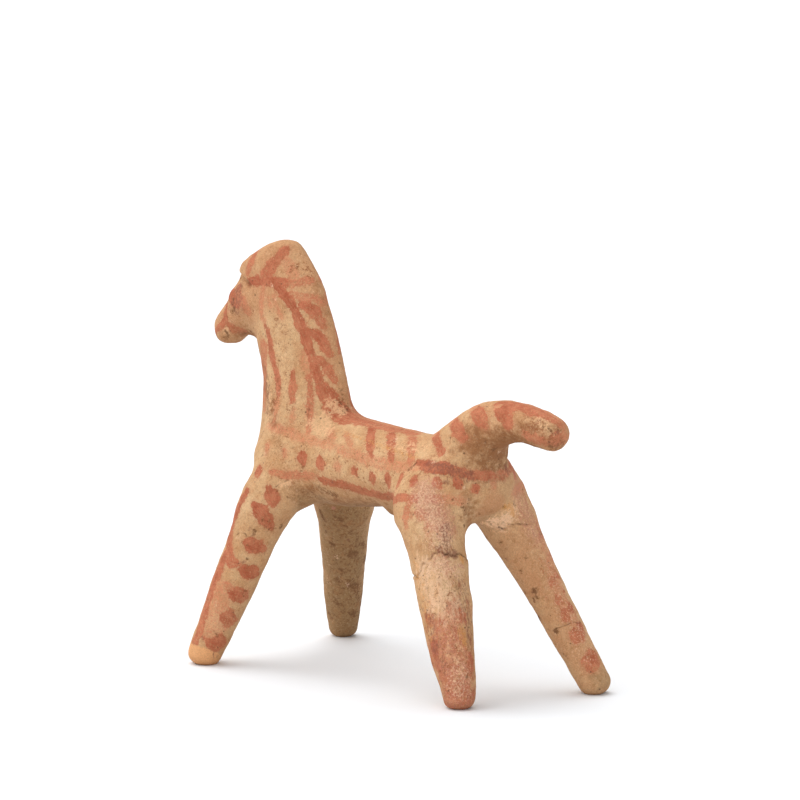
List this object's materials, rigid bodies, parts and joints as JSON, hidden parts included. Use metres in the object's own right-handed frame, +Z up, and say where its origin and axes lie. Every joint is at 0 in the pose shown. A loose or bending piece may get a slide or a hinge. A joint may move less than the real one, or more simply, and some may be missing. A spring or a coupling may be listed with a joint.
{
  "type": "terracotta horse",
  "caption": "Hand-modelled terracotta horse standing on splayed legs, with a slab neck, a blunt muzzle and a raised tail.",
  "frame": {"origin": "on the ground, under the middle of the horse's length and width", "axes": "+Z up, the horse looks along -X, its left side faces -Y, its tail points to +X"},
  "size_m": [0.1405, 0.0645, 0.1204],
  "materials": {
    "painted_terracotta": "matt fired clay with a pale slip and worn red paint"
  },
  "bodies": {
    "root": {"terracotta_horse": "painted_terracotta"}
  },
  "joints": []
}
